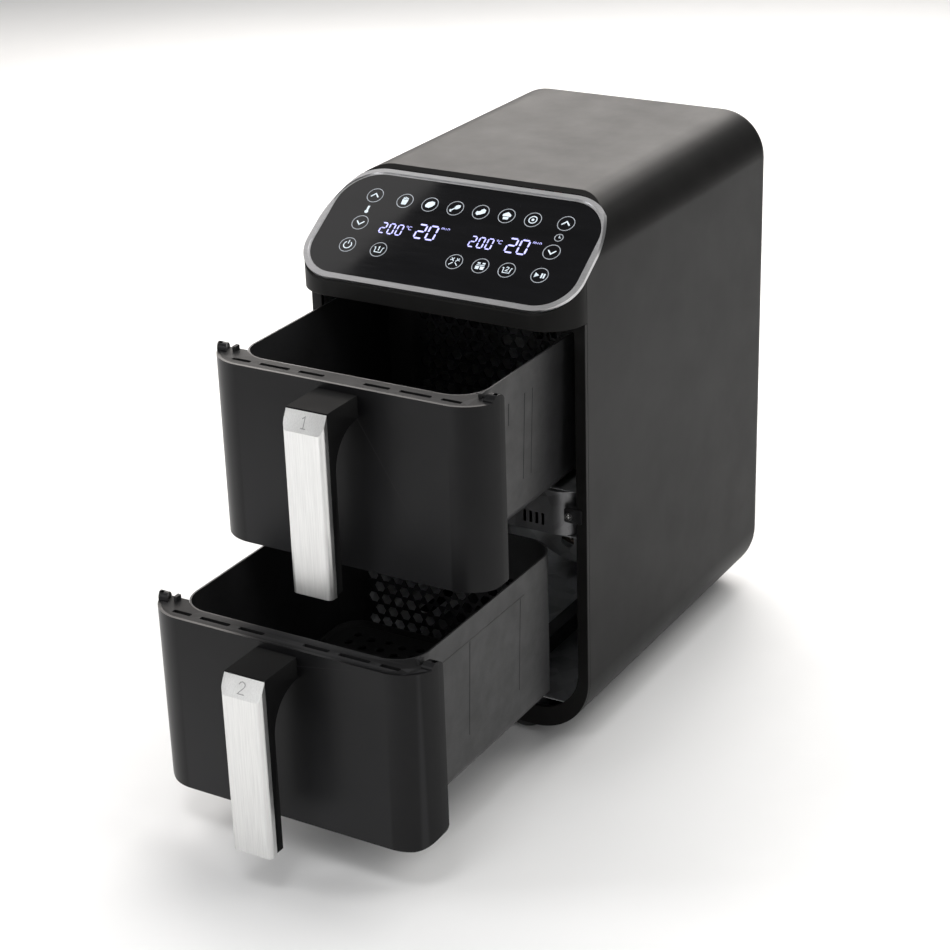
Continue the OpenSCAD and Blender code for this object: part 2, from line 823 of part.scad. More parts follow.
module bumpers(low) {
    z = low + plate_lift + 1.4;
    half = basket_floor_w / 2 - 3.2;
    front = basket_start + 44.5;
    back = basket_start + basket_len - 44.5;
    color("#3a3a3a") for (s = [-1, 1], y = [front, back])
        translate([s * half - 1.6, y - 5, z]) cube([3.2, 10, 2.5]);
}

housing_wrap();
front_frame();
console_cowl();
glass_panel();
trim_ring();
glass_carrier();
control_board();
display_modules();
touch_springs();
mid_partition();
partition_brackets();
bracket_screws();
upper_liner();
lower_liner();
upper_runners();
lower_runners();
fan_guard(upper_fan_z);  // upper_fan_guard
fan_guard(lower_fan_z);  // lower_fan_guard
heater(upper_fan_z);  // upper_heater
heater(lower_fan_z);  // lower_heater
motor(upper_fan_z);  // upper_motor
motor(lower_fan_z);  // lower_motor
motor_bracket(upper_fan_z);  // upper_motor_bracket
motor_bracket(lower_fan_z);  // lower_motor_bracket
hot_fan(upper_fan_z);  // upper_fan
hot_fan(lower_fan_z);  // lower_fan
fan_shaft(upper_fan_z);  // upper_fan_shaft
fan_shaft(lower_fan_z);  // lower_fan_shaft
cooling_fan(upper_fan_z);  // upper_cooling_fan
cooling_fan(lower_fan_z);  // lower_cooling_fan
temperature_sensors();
thermal_cutouts();
power_board();
drawer_sensors();
wiring_loom();
base_plate();
feet();
foot_screws();
rear_cover();
rear_cover_screws();
cord_gland();
at_upper() drawer_front(6);  // upper_front
at_lower() drawer_front(16);  // lower_front
at_upper() drawer_collar();  // upper_collar
at_lower() drawer_collar();  // lower_collar
at_upper() basket(upper_basket_low);  // upper_basket
at_lower() basket(lower_basket_low);  // lower_basket
at_upper() handle_core();  // upper_handle_core
at_lower() handle_core();  // lower_handle_core
at_upper() handle_cover();  // upper_handle_cover
at_lower() handle_cover();  // lower_handle_cover
at_upper() handle_screws();  // upper_handle_screws
at_lower() handle_screws();  // lower_handle_screws
at_upper() magnet();  // upper_magnet
at_lower() magnet();  // lower_magnet
at_upper() crisper_plate(upper_basket_low);  // upper_crisper_plate
at_lower() crisper_plate(lower_basket_low);  // lower_crisper_plate
at_upper() bumpers(upper_basket_low);  // upper_bumpers
at_lower() bumpers(lower_basket_low);  // lower_bumpers
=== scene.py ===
import math

import bmesh
import bpy
from mathutils import Matrix, Vector


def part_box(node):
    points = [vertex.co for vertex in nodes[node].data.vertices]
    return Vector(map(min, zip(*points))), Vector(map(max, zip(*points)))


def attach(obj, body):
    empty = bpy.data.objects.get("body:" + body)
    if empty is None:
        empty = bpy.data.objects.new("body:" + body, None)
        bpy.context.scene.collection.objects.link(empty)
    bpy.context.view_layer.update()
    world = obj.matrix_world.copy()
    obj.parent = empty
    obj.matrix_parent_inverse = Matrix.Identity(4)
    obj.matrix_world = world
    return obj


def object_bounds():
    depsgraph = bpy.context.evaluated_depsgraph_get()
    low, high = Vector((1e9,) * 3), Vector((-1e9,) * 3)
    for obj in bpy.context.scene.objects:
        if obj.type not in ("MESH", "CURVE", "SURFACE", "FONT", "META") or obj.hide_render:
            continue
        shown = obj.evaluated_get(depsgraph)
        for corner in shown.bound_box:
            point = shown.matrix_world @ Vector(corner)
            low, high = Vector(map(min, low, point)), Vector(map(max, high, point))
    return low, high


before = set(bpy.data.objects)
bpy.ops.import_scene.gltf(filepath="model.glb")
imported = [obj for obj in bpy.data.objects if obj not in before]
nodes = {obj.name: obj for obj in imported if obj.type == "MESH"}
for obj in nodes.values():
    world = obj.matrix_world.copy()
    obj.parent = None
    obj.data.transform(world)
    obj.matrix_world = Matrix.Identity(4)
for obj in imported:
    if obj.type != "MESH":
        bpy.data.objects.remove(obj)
cad_lo, cad_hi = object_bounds()
MM = 0.001


# ---------- materials ----------

class Graph:
    """Short calls for building a material's nodes around one Principled shader."""

    def __init__(self, name):
        self.mat = bpy.data.materials.new(name)
        self.mat.use_nodes = True
        self.nodes = self.mat.node_tree.nodes
        self.links = self.mat.node_tree.links
        self.shader = self.nodes["Principled BSDF"]
        self.place = self.nodes.new("ShaderNodeTexCoord").outputs["Object"]

    def join(self, output, node, socket):
        self.links.new(output, node.inputs[socket])

    def stretch(self, scale):
        """Object coordinates scaled along each axis, for drawn lines."""
        node = self.nodes.new("ShaderNodeMapping")
        self.join(self.place, node, "Vector")
        node.inputs["Scale"].default_value = scale
        return node.outputs["Vector"]

    def noise(self, scale, detail=3.0, rough=0.55, vector=None):
        node = self.nodes.new("ShaderNodeTexNoise")
        self.join(vector or self.place, node, "Vector")
        node.inputs["Scale"].default_value = scale
        node.inputs["Detail"].default_value = detail
        node.inputs["Roughness"].default_value = rough
        return node.outputs["Fac"]

    def cells(self, scale, feature="F1"):
        node = self.nodes.new("ShaderNodeTexVoronoi")
        node.feature = feature
        self.join(self.place, node, "Vector")
        node.inputs["Scale"].default_value = scale
        return node

    def span(self, value, lo, hi, low=0.3, high=0.7):
        """Maps value from low..high to lo..hi."""
        node = self.nodes.new("ShaderNodeMapRange")
        self.join(value, node, "Value")
        for socket, number in (("From Min", low), ("From Max", high), ("To Min", lo), ("To Max", hi)):
            node.inputs[socket].default_value = number
        return node.outputs["Result"]

    def mix(self, factor, a, b):
        """Blends two colours, each a tuple or another node's output."""
        node = self.nodes.new("ShaderNodeMix")
        node.data_type = "RGBA"
        self.join(factor, node, "Factor")
        for socket, value in ((6, a), (7, b)):
            if isinstance(value, tuple):
                node.inputs[socket].default_value = (*value, 1)
            else:
                self.links.new(value, node.inputs[socket])
        return node.outputs[2]

    def edges(self, sharpness=0.04):
        """1 on convex edges and 0 elsewhere, the mask for a painted highlight along edges."""
        point = self.nodes.new("ShaderNodeNewGeometry").outputs["Pointiness"]
        return self.span(point, 0, 1, 0.5 + sharpness, 0.5 + 3 * sharpness)

    def bumps(self, *layers):
        """Stacks bump layers, each (height, strength, distance in metres)."""
        last = None
        for height, strength, distance in layers:
            node = self.nodes.new("ShaderNodeBump")
            self.join(height, node, "Height")
            node.inputs["Strength"].default_value = strength
            node.inputs["Distance"].default_value = distance
            if last is not None:
                self.join(last, node, "Normal")
            last = node.outputs["Normal"]
        self.join(last, self.shader, "Normal")

    def set(self, **values):
        for key, value in values.items():
            self.shader.inputs[key.replace("_", " ")].default_value = value
        return self


def grained(name, dark, light, rough, grain=1400.0, bump=0.12, spread=0.05, edge_highlight=None, **values):
    """Moulded or painted surface with a fine grain, slow tone changes and a painted highlight on convex
    edges.
    """
    g = Graph(name)
    tone = g.mix(g.span(g.noise(38.0, 4.0), 0, 1), dark, light)
    # Convex edges take a lighter colour here, a painted highlight.
    if edge_highlight:
        tone = g.mix(g.edges(), tone, edge_highlight)
    g.join(tone, g.shader, "Base Color")
    slow = g.noise(22.0, 5.0, 0.6)
    g.join(g.span(slow, rough - spread, rough + spread), g.shader, "Roughness")
    g.bumps((g.noise(grain, 2.0), bump, 0.0001), (g.noise(60.0, 2.0), 0.02, 0.0004))
    return g.set(**values).mat


def metal(name, dark, light, rough, stretch=(60.0, 2200.0, 2200.0), bump=0.06, spread=0.06, **values):
    """Metal with fine drawn lines along one axis."""
    g = Graph(name)
    lines = g.noise(1.0, 3.0, 0.6, g.stretch(stretch))
    g.join(g.mix(g.span(lines, 0, 1), dark, light), g.shader, "Base Color")
    g.join(g.span(g.noise(45.0, 4.0), rough - spread, rough + spread), g.shader, "Roughness")
    g.bumps((lines, bump, 0.00005), (g.noise(140.0, 2.0), 0.02, 0.0002))
    return g.set(Metallic=1.0, **values).mat


def galvanised(name, dark, light, rough):
    """Zinc-coated sheet: soft spangle cells over a dull sheen."""
    g = Graph(name)
    spangle = g.cells(95.0)
    tone = g.mix(g.span(spangle.outputs["Color"], 0, 1, 0.1, 0.9), dark, light)
    g.join(tone, g.shader, "Base Color")
    g.join(g.span(spangle.outputs["Color"], rough - 0.09, rough + 0.09, 0, 1), g.shader, "Roughness")
    g.bumps((g.noise(320.0, 3.0), 0.05, 0.0002), (g.noise(18.0, 2.0), 0.05, 0.001))
    return g.set(Metallic=0.85).mat


def coated(name, dark, light, rough):
    """Non-stick coating with a sparse fine speckle."""
    g = Graph(name)
    fleck = g.span(g.cells(900.0).outputs["Distance"], 1, 0, 0.05, 0.2)
    base = g.mix(g.span(g.noise(30.0, 4.0), 0, 1), dark, light)
    tone = g.mix(g.span(fleck, 0, 0.25, 0, 1), base, (0.16, 0.16, 0.165))
    g.join(tone, g.shader, "Base Color")
    g.join(g.span(g.noise(70.0, 4.0), rough - 0.06, rough + 0.08), g.shader, "Roughness")
    g.bumps((g.noise(900.0, 3.0), 0.14, 0.0001), (g.noise(90.0, 2.0), 0.03, 0.0003))
    return g.set(Specular_IOR_Level=0.34).mat


def smoked_glass():
    """Black touch glass with a trace of wiped marks in its gloss."""
    g = Graph("control_glass")
    wipe = g.noise(1.0, 5.0, 0.7, g.stretch((14.0, 90.0, 90.0)))
    tone = g.mix(g.span(wipe, 0, 1), (0.0016, 0.0016, 0.0022), (0.004, 0.004, 0.005))
    g.join(tone, g.shader, "Base Color")
    g.join(g.span(wipe, 0.03, 0.09), g.shader, "Roughness")
    g.bumps((g.noise(7.0, 1.0), 0.01, 0.001))
    return g.set(IOR=1.5, Specular_IOR_Level=0.42).mat


def lit(name, dark, light, strength):
    """Marks lit from behind the glass, a little uneven."""
    g = Graph(name)
    tone = g.mix(g.span(g.noise(260.0, 2.0), 0, 1), dark, light)
    g.join(tone, g.shader, "Base Color")
    g.join(tone, g.shader, "Emission Color")
    g.join(g.span(g.noise(120.0), 0.25, 0.45), g.shader, "Roughness")
    return g.set(Emission_Strength=strength).mat


def board():
    """Green board with paler tracks."""
    g = Graph("board")
    tracks = g.cells(260.0, "DISTANCE_TO_EDGE").outputs["Distance"]
    tone = g.mix(g.span(tracks, 1, 0, 0.02, 0.06), (0.01, 0.09, 0.03), (0.04, 0.2, 0.08))
    g.join(tone, g.shader, "Base Color")
    g.join(g.span(g.noise(90.0), 0.3, 0.45), g.shader, "Roughness")
    g.bumps((tracks, 0.1, 0.0001))
    return g.mat


def sleeve():
    """Woven heat-proof sleeve."""
    g = Graph("wire_sleeve")
    wave = g.nodes.new("ShaderNodeTexWave")
    g.join(g.place, wave, "Vector")
    wave.inputs["Scale"].default_value = 420.0
    wave.bands_direction = "DIAGONAL"
    g.join(g.mix(wave.outputs["Fac"], (0.22, 0.05, 0.04), (0.5, 0.16, 0.12)), g.shader, "Base Color")
    g.join(g.span(g.noise(200.0), 0.6, 0.85), g.shader, "Roughness")
    g.bumps((wave.outputs["Fac"], 0.3, 0.0003))
    return g.mat


# For shell, satin, matt and core, the colour after the grain values is a painted highlight on convex
# edges.
MATERIALS = {
    "shell": grained("shell", (0.007, 0.0068, 0.0066), (0.0095, 0.0092, 0.009), 0.42, 1500.0, 0.1, 0.035,
                     (0.018, 0.018, 0.018), IOR=1.19),
    "satin": grained("satin", (0.0045, 0.0045, 0.005), (0.006, 0.006, 0.0065), 0.33, 2400.0, 0.05, 0.03,
                     (0.016, 0.016, 0.017), Specular_IOR_Level=0.18),
    "matt": grained("matt", (0.009, 0.009, 0.0095), (0.015, 0.015, 0.0155), 0.5, 1100.0, 0.14, 0.05,
                    (0.024, 0.024, 0.025), IOR=1.2),
    "core": grained("core", (0.006, 0.006, 0.0062), (0.009, 0.009, 0.0093), 0.48, 1100.0, 0.12, 0.05,
                    (0.015, 0.015, 0.015), IOR=1.06),
    "glass": smoked_glass(),
    "ring": metal("ring", (0.5, 0.5, 0.51), (0.58, 0.58, 0.59), 0.3, (60.0, 900.0, 900.0), 0.02, 0.02),
    "silver": metal("silver", (0.62, 0.62, 0.615), (0.74, 0.74, 0.73), 0.36, (1600.0, 1600.0, 30.0), 0.05,
                    0.04),
    "etched": metal("etched", (0.24, 0.24, 0.24), (0.34, 0.34, 0.34), 0.5, (900.0, 900.0, 900.0)),
    "basket": coated("basket", (0.016, 0.016, 0.0165), (0.023, 0.023, 0.024), 0.42),
    "plate": coated("plate", (0.045, 0.045, 0.046), (0.06, 0.06, 0.061), 0.38),
    "zinc": galvanised("zinc", (0.42, 0.43, 0.44), (0.6, 0.61, 0.62), 0.42),
    "partition": galvanised("partition", (0.13, 0.13, 0.133), (0.2, 0.2, 0.205), 0.42),
    "heater": metal("heater", (0.12, 0.09, 0.08), (0.3, 0.24, 0.2), 0.4, (300.0, 300.0, 300.0), 0.1),
    "alloy": metal("alloy", (0.55, 0.55, 0.56), (0.7, 0.7, 0.7), 0.35, (700.0, 60.0, 700.0)),
    "bright": metal("bright", (0.62, 0.62, 0.62), (0.82, 0.82, 0.81), 0.22, (900.0, 900.0, 900.0)),
    "motor": metal("motor", (0.16, 0.165, 0.175), (0.25, 0.255, 0.27), 0.45, (500.0, 80.0, 500.0)),
    "dark": grained("dark", (0.012, 0.012, 0.013), (0.022, 0.022, 0.023), 0.45, 900.0, 0.12),
    "rubber": grained("rubber", (0.012, 0.012, 0.012), (0.024, 0.024, 0.024), 0.75, 700.0, 0.25, 0.08),
    "ceramic": grained("ceramic", (0.6, 0.57, 0.5), (0.76, 0.73, 0.66), 0.3, 500.0, 0.05),
    "board": board(),
    "sleeve": sleeve(),
    "digits": lit("digits", (0.36, 0.36, 0.78), (0.52, 0.52, 0.95), 0.9),
    "marks": lit("marks", (0.42, 0.48, 0.53), (0.58, 0.64, 0.69), 0.62),
    "fine_marks": lit("fine_marks", (0.2, 0.215, 0.235), (0.3, 0.32, 0.35), 0.6),
}

LOOKS = {
    "shell": ["housing_wrap", "front_frame", "console_cowl", "rear_cover"],
    "satin": ["upper_front", "lower_front"],
    "matt": ["upper_collar", "lower_collar", "partition_brackets"],
    "core": ["upper_handle_core", "lower_handle_core"],
    "glass": ["glass_panel"],
    "ring": ["trim_ring"],
    "silver": ["upper_handle_cover", "lower_handle_cover"],
    "basket": ["upper_basket", "lower_basket"],
    "plate": ["upper_crisper_plate", "lower_crisper_plate"],
    "zinc": ["upper_liner", "lower_liner", "upper_fan_guard", "lower_fan_guard", "base_plate",
             "upper_motor_bracket", "lower_motor_bracket"],
    "partition": ["mid_partition"],
    "heater": ["upper_heater", "lower_heater"],
    "alloy": ["upper_fan", "lower_fan"],
    "bright": ["bracket_screws", "foot_screws", "upper_handle_screws", "lower_handle_screws",
               "upper_fan_shaft", "lower_fan_shaft", "rear_cover_screws", "upper_magnet", "lower_magnet",
               "touch_springs", "temperature_sensors"],
    "motor": ["upper_motor", "lower_motor"],
    "dark": ["glass_carrier", "upper_runners", "lower_runners", "upper_cooling_fan", "lower_cooling_fan",
             "drawer_sensors", "display_modules"],
    "rubber": ["feet", "cord_gland", "upper_bumpers", "lower_bumpers"],
    "ceramic": ["thermal_cutouts"],
    "board": ["control_board", "power_board"],
    "sleeve": ["wiring_loom"],
}

# Edge softening in millimetres for nodes whose edges show.
SOFT = {
    "housing_wrap": 0.5, "front_frame": 0.5, "console_cowl": 0.6, "trim_ring": 0.25, "upper_front": 0.6,
    "lower_front": 0.6, "upper_collar": 0.35, "lower_collar": 0.35, "upper_handle_core": 0.9,
    "lower_handle_core": 0.9, "upper_handle_cover": 0.5, "lower_handle_cover": 0.5, "mid_partition": 0.5,
    "rear_cover": 0.4, "partition_brackets": 0.3, "upper_runners": 0.5, "lower_runners": 0.5,
}


MERGE = 0.00001
SMOOTH_ANGLE = math.radians(28)
BEVEL_ANGLE = math.radians(32)
FLAT_ANGLE = math.radians(0.4)


def smooth_group():
    """Geometry nodes that join split corners and shade smooth across shallow angles."""
    group = bpy.data.node_groups.new("join_and_smooth", "GeometryNodeTree")
    group.interface.new_socket("Geometry", in_out="INPUT", socket_type="NodeSocketGeometry")
    group.interface.new_socket("Geometry", in_out="OUTPUT", socket_type="NodeSocketGeometry")
    make = group.nodes.new
    start, end = make("NodeGroupInput"), make("NodeGroupOutput")
    merge = make("GeometryNodeMergeByDistance")
    merge.inputs["Distance"].default_value = MERGE
    angle = make("GeometryNodeInputMeshEdgeAngle")
    sharp = make("FunctionNodeCompare")
    sharp.inputs[1].default_value = SMOOTH_ANGLE
    faces, edges = make("GeometryNodeSetShadeSmooth"), make("GeometryNodeSetShadeSmooth")
    edges.domain = "EDGE"
    flip = make("FunctionNodeBooleanMath")
    flip.operation = "NOT"
    link = group.links.new
    link(start.outputs[0], merge.inputs["Geometry"])
    link(merge.outputs["Geometry"], faces.inputs["Geometry"])
    link(faces.outputs["Geometry"], edges.inputs["Geometry"])
    link(angle.outputs["Unsigned Angle"], sharp.inputs[0])
    link(sharp.outputs["Result"], flip.inputs[0])
    link(flip.outputs[0], edges.inputs["Shade Smooth"])
    link(edges.outputs["Geometry"], end.inputs[0])
    return group


SMOOTH = smooth_group()


def dress(obj, look):
    """Gives an object one of the materials above."""
    obj.data.materials.clear()
    obj.data.materials.append(MATERIALS[look])


def new_piece(name, bm, look):
    """Turns a bmesh into a dressed object."""
    bmesh.ops.recalc_face_normals(bm, faces=bm.faces)
    mesh = bpy.data.meshes.new(name)
    bm.to_mesh(mesh)
    bm.free()
    obj = bpy.data.objects.new(name, mesh)
    bpy.context.scene.collection.objects.link(obj)
    dress(obj, look)
    return obj


def soften(obj, width):
    """Rounds an object's edges by width in millimetres, or only smooths it at 0."""
    if width:
        weld = obj.modifiers.new("weld", "WELD")
        weld.merge_threshold = MERGE
        flat = obj.modifiers.new("flat", "DECIMATE")
        flat.decimate_type = "DISSOLVE"
        flat.angle_limit = FLAT_ANGLE
        bevel = obj.modifiers.new("edges", "BEVEL")
        bevel.width = width * MM
        bevel.segments = 3
        bevel.limit_method = "ANGLE"
        bevel.angle_limit = BEVEL_ANGLE
        bevel.use_clamp_overlap = True
        bevel.loop_slide = False
    obj.modifiers.new("smooth", "NODES").node_group = SMOOTH
    even = obj.modifiers.new("even", "WEIGHTED_NORMAL")
    even.keep_sharp = True


for look, names in LOOKS.items():
    for name in names:
        dress(nodes[name], look)
        soften(nodes[name], SOFT.get(name, 0))


# ---------- thin marks ----------

class Sheet:
    """Collects thin closed strips and plates drawn in a plane; x along the plane, s up it."""

    def __init__(self, origin, along, up, thick):
        self.bm = bmesh.new()
        self.origin, self.along, self.up = Vector(origin), Vector(along), Vector(up)
        self.out = self.along.cross(self.up)
        self.thick = thick

    def at(self, x, s, n):
        return self.origin + (self.along * x + self.up * s + self.out * n) * MM

    def plate(self, outline):
        low = [self.bm.verts.new(self.at(x, s, 0)) for x, s in outline]
        high = [self.bm.verts.new(self.at(x, s, self.thick)) for x, s in outline]
        self.bm.faces.new(high)
        self.bm.faces.new(list(reversed(low)))
        for i in range(len(outline)):
            j = (i + 1) % len(outline)
            self.bm.faces.new([low[i], low[j], high[j], high[i]])

    def strip(self, points, width, closed=False):
        """A line of even width through points, closed into a loop if asked."""
        count = len(points)
        left, right = [], []
        for i in range(count):
            before = points[i - 1] if i or closed else None
            after = points[(i + 1) % count] if i < count - 1 or closed else None
            here = Vector(points[i])
            a = (here - Vector(before)).normalized() if before else (Vector(after) - here).normalized()
            b = (Vector(after) - here).normalized() if after else a
            way = (a + b).normalized() if (a + b).length > 0.2 else a
            side = Vector((-way.y, way.x))
            reach = width / 2 / max(0.5, side.dot(Vector((-a.y, a.x))))
            left.append(here + side * reach)
            right.append(here - side * reach)
        rings = [[self.bm.verts.new(self.at(*p, n)) for p in row for n in (0, self.thick)]
                 for row in zip(left, right)]
        for i in range(count if closed else count - 1):
            (l0, l1, r0, r1), (m0, m1, q0, q1) = rings[i], rings[(i + 1) % count]
            for quad in ((l1, r1, q1, m1), (l0, m0, q0, r0), (l0, l1, m1, m0), (r0, q0, q1, r1)):
                self.bm.faces.new(quad)
        if not closed:
            for l0, l1, r0, r1 in (rings[0], rings[-1]):
                self.bm.faces.new((l0, r0, r1, l1))

    def circle(self, x, s, r, width, steps=36):
        self.strip(round_points(x, s, r, steps), width, True)

    def disc(self, x, s, r, steps=24):
        self.plate(round_points(x, s, r, steps))

    def make(self, name, look, body, slot):
        obj = new_piece(name, self.bm, look)
        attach(obj, body)


def round_points(x, s, r, steps, start=0.0, end=360.0):
    """Points along a circle or an arc, with angles in degrees."""
    full = abs(end - start) >= 360
    span = [math.radians(start + (end - start) * i / (steps if full else steps - 1)) for i in range(steps)]
    return [(x + r * math.cos(a), s + r * math.sin(a)) for a in span]


# The glass lies in a sloping plane found from the trim ring's box. Sizes here are in millimetres.
RING_T = 2.6
GLASS_DROP = 0.9
MARK_SINK = 0.02
MARK_T = 0.12
SLOPE = math.radians(33.06)
ring_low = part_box("trim_ring")[0]
slope_up = (0, math.cos(SLOPE), math.sin(SLOPE))
slope_out = Vector((0, -math.sin(SLOPE), math.cos(SLOPE)))
slope_origin = Vector((0, ring_low.y, ring_low.z + RING_T * MM * math.cos(SLOPE)))
mark_base = slope_origin - slope_out * GLASS_DROP * MM - slope_out * MARK_SINK * MM


def on_glass():
    """A sheet for marks on the glass; x from its middle, s up the slope from the ring's lower edge."""
    return Sheet(mark_base, (1, 0, 0), slope_up, MARK_T)


# Segments of a digit: top, upper right, lower right, bottom, lower left, upper left, middle.
DIGITS = {"0": "abcdef", "2": "abged"}


def digit(sheet, char, x, s, w, h, t):
    """A segment digit with its lower left corner at (x, s), w wide and h high, in strokes t wide."""
    gap = t * 0.28
    k = t / 2

    def bar(x0, s0, x1, s1):
        if s0 == s1:
            x0, x1 = x0 + gap + k, x1 - gap - k
            sheet.plate([(x0 - k, s0), (x0, s0 + k), (x1, s0 + k), (x1 + k, s0), (x1, s0 - k),
                         (x0, s0 - k)])
        else:
            s0, s1 = s0 + gap + k, s1 - gap - k
            sheet.plate([(x0, s0 - k), (x0 + k, s0), (x0 + k, s1), (x0, s1 + k), (x0 - k, s1),
                         (x0 - k, s0)])

    low, mid, high = s + k, s + h / 2, s + h - k
    a, b = x + k, x + w - k
    bars = {"a": (a, high, b, high), "b": (b, mid, b, high), "c": (b, low, b, mid), "d": (a, low, b, low),
            "e": (a, low, a, mid), "f": (a, mid, a, high), "g": (a, mid, b, mid)}
    for name in DIGITS[char]:
        bar(*bars[name])


# Left ends of the two readouts, and where their digits and the minutes sign stand.
READOUTS = (-60.6, 13.6)
DIGITS_LOW = 45.5
UNIT_LOW, UNIT_HIGH = 56.8, 58.3

digits = on_glass()
for x0 in READOUTS:
    for i, char in enumerate("200"):
        digit(digits, char, x0 + 6.8 * i, DIGITS_LOW, 5.2, 10.2, 1.05)
    for i, char in enumerate("20"):
        digit(digits, char, x0 + 29.2 + 9.4 * i, DIGITS_LOW, 7.8, 13.6, 1.35)
digits.make("display_digits", "digits", "housing", "control_glass")

units = on_glass()
for x0 in READOUTS:
    # Degrees Celsius
    units.circle(x0 + 21.2, 54.7, 0.6, 0.3, 12)
    units.strip(round_points(x0 + 24.0, 53.6, 1.5, 12, 50, 310), 0.4)
    # The letters m, i and n of minutes
    for k in range(3):
        units.strip([(x0 + 48.2 + 1.1 * k, UNIT_LOW), (x0 + 48.2 + 1.1 * k, UNIT_HIGH)], 0.32)
    units.strip([(x0 + 48.2, UNIT_HIGH), (x0 + 50.4, UNIT_HIGH)], 0.32)
    units.strip([(x0 + 51.8, UNIT_LOW), (x0 + 51.8, UNIT_HIGH + 0.1)], 0.32)
    for k in (0, 1.4):
        units.strip([(x0 + 53.2 + k, UNIT_LOW), (x0 + 53.2 + k, UNIT_HIGH)], 0.32)
    units.strip([(x0 + 53.2, UNIT_HIGH), (x0 + 54.6, UNIT_HIGH)], 0.32)
units.make("display_units", "digits", "housing", "control_glass")

# Places of the touch keys: a column at each side, a row above the readouts and one below.
SIDE_X = 78.6
TOP_ROW = [-52.7, -31.6, -10.5, 10.5, 31.6, 52.7]
LOW_ROW = [-52.3, 10.5, 31.6, 52.7]
KEY_RINGS = [(s * SIDE_X, v) for s in (-1, 1) for v in (78, 52, 31)] + [(x, 77) for x in TOP_ROW]
KEY_RINGS += [(x, 31) for x in LOW_ROW]

rings = on_glass()
for x, s in KEY_RINGS:
    rings.circle(x, s, 6.3, 0.55, 40)
# Clock
rings.circle(SIDE_X, 65, 3.1, 0.6, 28)
rings.make("key_rings", "fine_marks", "housing", "control_glass")

marks = on_glass()
# Up and down arrows
for sign in (-1, 1):
    x = sign * SIDE_X
    marks.strip([(x - 3.1, 76.6), (x, 79.8), (x + 3.1, 76.6)], 1.0)
    marks.strip([(x - 3.1, 53.4), (x, 50.2), (x + 3.1, 53.4)], 1.0)
# Clock hands
marks.strip([(SIDE_X, 66.9), (SIDE_X, 65), (SIDE_X + 1.5, 65)], 0.5)
# Power
marks.strip(round_points(-SIDE_X, 31, 3.1, 20, 125, 415), 0.75)
marks.strip([(-SIDE_X, 32), (-SIDE_X, 35.2)], 0.75)
# Start and pause
marks.plate([(SIDE_X - 3.8, 28.9), (SIDE_X - 0.4, 31), (SIDE_X - 3.8, 33.1)])
for dx in (1.0, 2.9):
    marks.plate([(SIDE_X + dx, 29), (SIDE_X + dx + 1.2, 29), (SIDE_X + dx + 1.2, 33), (SIDE_X + dx, 33)])
# Thermometer
marks.disc(-SIDE_X, 62.6, 1.5)
marks.plate([(-SIDE_X - 0.8, 63.2), (-SIDE_X + 0.8, 63.2), (-SIDE_X + 0.8, 67.9), (-SIDE_X - 0.8, 67.9)])
# Chips in a carton
x = TOP_ROW[0]
marks.plate([(x - 1.9, 73.6), (x + 1.9, 73.6), (x + 2.5, 78.2), (x - 2.5, 78.2)])
for k, high in enumerate((80.1, 80.7, 80.3, 79.9)):
    marks.plate([(x - 2.2 + 1.15 * k, 78.5), (x - 1.4 + 1.15 * k, 78.5), (x - 1.4 + 1.15 * k, high),
                 (x - 2.2 + 1.15 * k, high)])
# Steak
x = TOP_ROW[1]
marks.plate([(x - 3.6, 76.2), (x - 2.8, 74.4), (x, 73.9), (x + 2.2, 75.2), (x + 3.7, 77.6),
             (x + 3.1, 79.6), (x + 0.6, 80.1), (x - 2.2, 78.8)])
# Drumstick
x = TOP_ROW[2]
marks.plate([(x - 0.9, 77.4), (x - 0.1, 76.2), (x + 1.6, 76.3), (x + 3.4, 78.0), (x + 3.4, 80.0),
             (x + 1.6, 80.4), (x - 0.3, 79.4)])
marks.strip([(x - 0.5, 77.0), (x - 2.9, 74.6)], 1.0)
marks.disc(x - 3.2, 75.0, 0.7, 12)
marks.disc(x - 2.7, 74.1, 0.7, 12)
# Wing
x = TOP_ROW[3]
marks.plate([(x - 3.7, 75.4), (x - 2.0, 73.9), (x + 1.0, 75.2), (x + 3.6, 76.8), (x + 3.4, 79.2),
             (x + 1.4, 80.3), (x - 0.2, 79.2), (x - 0.9, 77.6), (x - 3.2, 77.4)])
# Cake
x = TOP_ROW[4]
marks.plate([(x - 1.9, 73.8), (x + 1.9, 73.8), (x + 2.4, 76.0), (x - 2.4, 76.0)])
marks.plate([(x - 3.3, 76.6), (x + 3.3, 76.6), (x + 3.4, 78.0), (x + 1.6, 79.6), (x, 80.4),
             (x - 1.6, 79.6), (x - 3.4, 78.0)])
# Pizza
x = TOP_ROW[5]
marks.circle(x, 77, 3.0, 0.75, 28)
marks.disc(x, 77, 1.1, 16)
# Keys for one basket each, with its numeral
for x in (LOW_ROW[0], LOW_ROW[3]):
    marks.strip([(x - 4.0, 32.8), (x - 3.0, 32.8), (x - 2.6, 28.6), (x + 2.6, 28.6), (x + 3.0, 32.8),
                 (x + 4.0, 32.8)], 0.6)
marks.strip([(-53.1, 32.9), (-52.2, 33.6), (-52.2, 30.1)], 0.6)
marks.strip([(51.7, 33.0), (52.2, 33.6), (53.3, 33.6), (53.7, 33.0), (53.6, 32.3), (51.7, 30.3),
             (53.8, 30.3)], 0.6)
# Both baskets at one setting
x = LOW_ROW[1]
for sx in (-1, 1):
    marks.strip([(x + sx * 0.8, 31.4), (x + sx * 3.2, 34.2)], 0.65)
    marks.strip([(x + sx * 0.9, 30.4), (x + sx * 3.4, 27.9)], 0.65)
    marks.strip([(x + sx * 1.2, 34.4), (x + sx * 1.9, 32.6), (x + sx * 3.9, 32.3)], 0.5)
